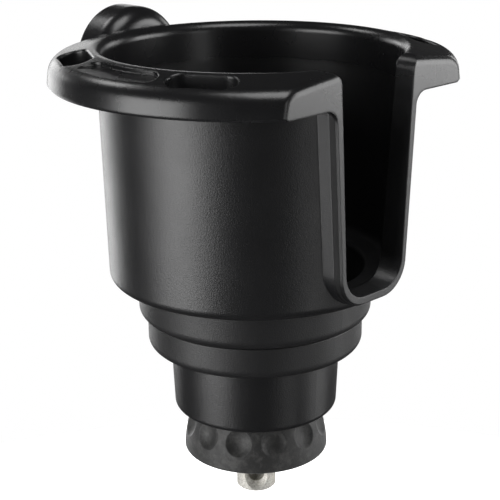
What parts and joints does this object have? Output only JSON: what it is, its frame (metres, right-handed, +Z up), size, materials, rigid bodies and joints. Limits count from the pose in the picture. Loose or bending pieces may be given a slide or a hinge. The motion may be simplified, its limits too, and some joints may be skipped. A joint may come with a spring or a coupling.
{
  "type": "cup holder",
  "caption": "Stepped black cup holder with a mug handle slot, tool slots in its mouth ring and a rear boss, swivelling on a stud with a locking hand knob.",
  "frame": {"origin": "centre of the mounting stud's lower end face", "axes": "+Z up along the cup's axis, -Y out through the mug handle slot, +Y through the rear boss"},
  "size_m": [0.118, 0.1073, 0.1465],
  "materials": {
    "black_plastic": "satin moulded, fine grain",
    "black_plastic_lower": "satin moulded",
    "knob_rubber": "matte moulded rubber",
    "mat_rubber": "matte",
    "core_plastic": "matte",
    "grey_nylon": "smooth",
    "white_nylon": "smooth",
    "blue_nylon": "smooth",
    "stud_steel": "cast grain, zinc plated",
    "zinc_steel": "zinc plated",
    "spring_steel": "oiled spring steel",
    "brass": "turned"
  },
  "bodies": {
    "stud": {"mounting_stud": "stud_steel", "knob_stop_ring": "spring_steel", "thrust_washer": "zinc_steel", "nut_washer": "zinc_steel", "spring_washer": "spring_steel", "stud_nut": "zinc_steel", "nut_lock_ring": "blue_nylon"},
    "cup": {"cup_shell": "black_plastic", "base_housing": "black_plastic_lower", "housing_screws": "zinc_steel", "floor_mat": "mat_rubber", "boss_insert": "brass", "lower_bush": "white_nylon", "upper_bush": "white_nylon"},
    "knob_carrier": {"friction_washer": "grey_nylon"},
    "knob": {"knob_grip": "knob_rubber", "knob_core": "core_plastic", "knob_insert": "brass"}
  },
  "joints": [
    {"name": "cup_swivel", "type": "hinge", "parent": "stud", "child": "cup", "pos_m": [0, 0, 0.0345], "axis": [0, 0, 1], "continuous": true},
    {"name": "knob_travel", "type": "slide", "parent": "stud", "child": "knob_carrier", "axis": [0, 0, -1], "range_m": [0, 0.0027]},
    {"name": "knob_turn", "type": "hinge", "parent": "knob_carrier", "child": "knob", "pos_m": [0, 0, 0.022], "axis": [0, 0, -1], "range_deg": [0, 495]}
  ],
  "couplings": [
    {"joint": "knob_travel", "follows": "knob_turn", "m_per_rad": 0.00031035}
  ]
}
